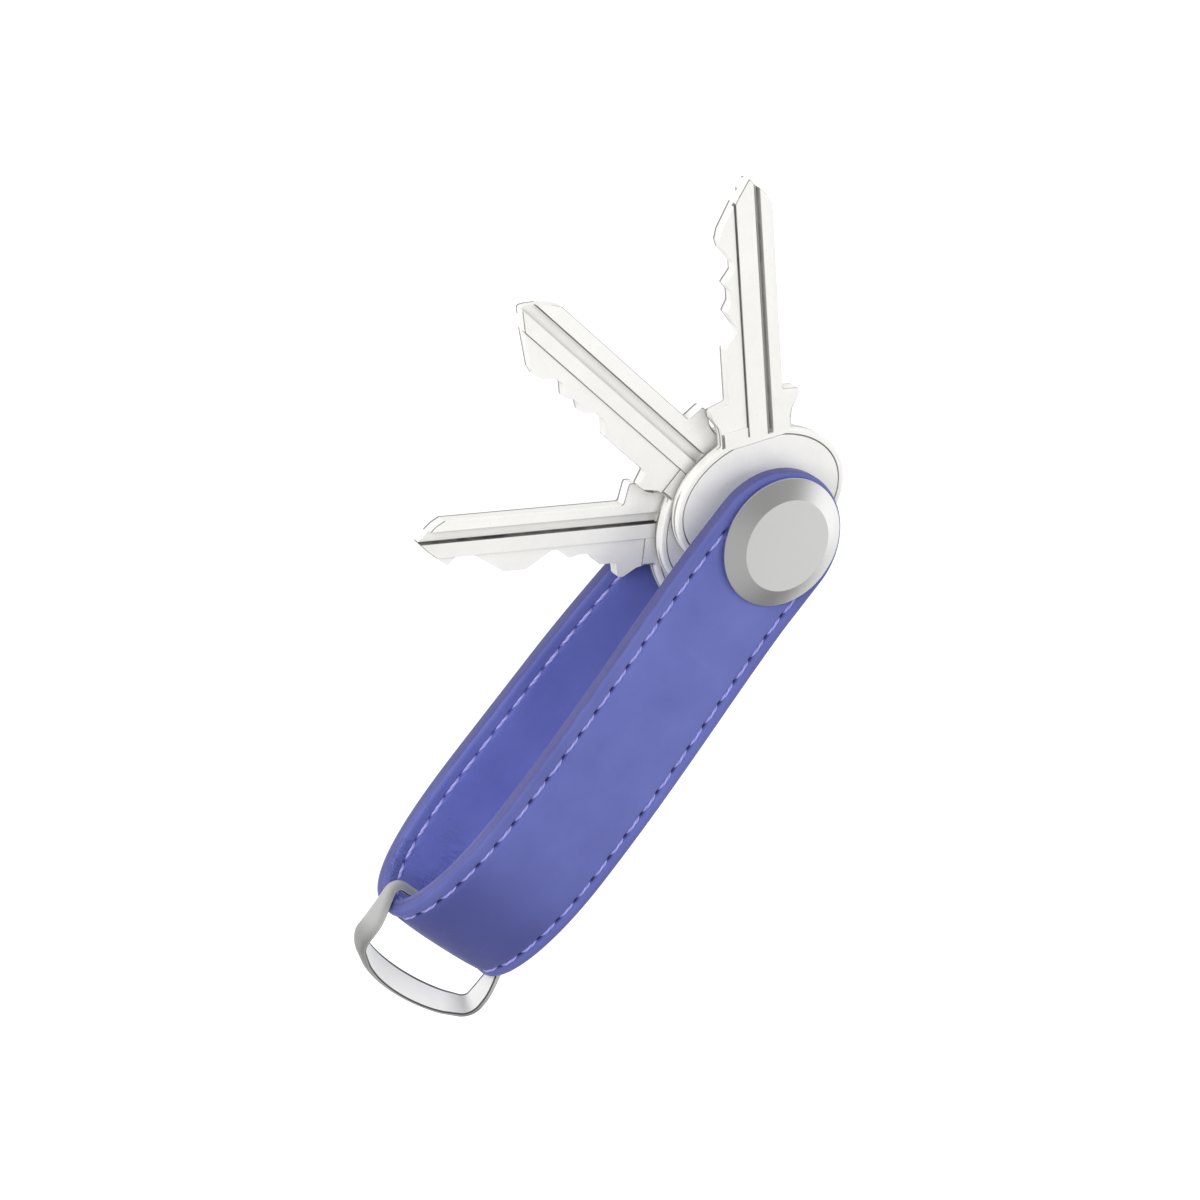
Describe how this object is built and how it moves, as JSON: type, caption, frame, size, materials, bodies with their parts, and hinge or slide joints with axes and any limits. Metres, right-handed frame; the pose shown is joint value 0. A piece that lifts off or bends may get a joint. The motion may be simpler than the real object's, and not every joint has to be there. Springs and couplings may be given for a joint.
{
  "type": "key organizer",
  "caption": "Key organizer: a folded leather strap with stitched edges, clamped by a screwed post between two bevelled steel discs, with cylinder-lock keys that turn out and a flat D-ring in the fold",
  "frame": {"origin": "on the post's axis, on the rear disc's outer face", "axes": "+Z along the post from the rear disc to the front disc, through the stack; the strap runs from the post towards -X and the D-ring is at its -X end; +Y is the side that the keys stand out on in the rest pose"},
  "size_m": [0.1115, 0.0625, 0.0179],
  "materials": {
    "leather": "periwinkle violet-blue smooth leather, fine grain, satin",
    "lining": "the same leather on the inner side, slightly more matt, finely creased in the fold",
    "core_board": "thin stiffening film between the leathers, not seen",
    "thread": "light lavender waxed polyester thread",
    "satin_steel": "satin steel, light grey",
    "nickel_silver": "bright nickel silver, smooth",
    "brass": "plain turned brass",
    "nylon": "natural nylon"
  },
  "bodies": {
    "strap_and_post": {"strap_outer_leather": "leather", "strap_core": "core_board", "strap_lining_leather": "lining", "needle_thread_left": "thread", "needle_thread_right": "thread", "bobbin_thread_left": "thread", "bobbin_thread_right": "thread", "front_disc": "satin_steel", "barrel_post": "satin_steel", "front_washer": "satin_steel", "rear_washer": "satin_steel", "front_spacer": "nylon", "key_spacer_upper": "brass", "key_spacer_lower": "brass"},
    "rear_travel": {"rear_thrust_washer": "brass"},
    "rear_fastener": {"rear_disc": "satin_steel", "lock_screw": "satin_steel"},
    "top_key": {"key_top": "nickel_silver"},
    "middle_key": {"key_middle": "nickel_silver"},
    "bottom_key": {"key_bottom": "nickel_silver"},
    "ring": {"d_ring": "satin_steel"}
  },
  "joints": [
    {"name": "rear_unscrew_travel", "type": "slide", "parent": "strap_and_post", "child": "rear_travel", "axis": [0, 0, -1], "range_m": [0, 0.007]},
    {"name": "rear_unscrew_turn", "type": "hinge", "parent": "rear_travel", "child": "rear_fastener", "pos_m": [0, 0, 0], "axis": [0, 0, -1], "range_deg": [0, 3600]},
    {"name": "key_top_turn", "type": "hinge", "parent": "strap_and_post", "child": "top_key", "pos_m": [0, 0, 0.01], "axis": [0, 0, 1], "continuous": true},
    {"name": "key_middle_turn", "type": "hinge", "parent": "strap_and_post", "child": "middle_key", "pos_m": [0, 0, 0.0078], "axis": [0, 0, 1], "continuous": true},
    {"name": "key_bottom_turn", "type": "hinge", "parent": "strap_and_post", "child": "bottom_key", "pos_m": [0, 0, 0.0055], "axis": [0, 0, 1], "continuous": true},
    {"name": "d_ring_swing", "type": "hinge", "parent": "strap_and_post", "child": "ring", "pos_m": [-0.06627, 0, 0.00915], "axis": [0, 1, 0], "range_deg": [-100, 105]}
  ],
  "couplings": [
    {"joint": "rear_unscrew_turn", "follows": "rear_unscrew_travel", "rad_per_m": 8976}
  ]
}
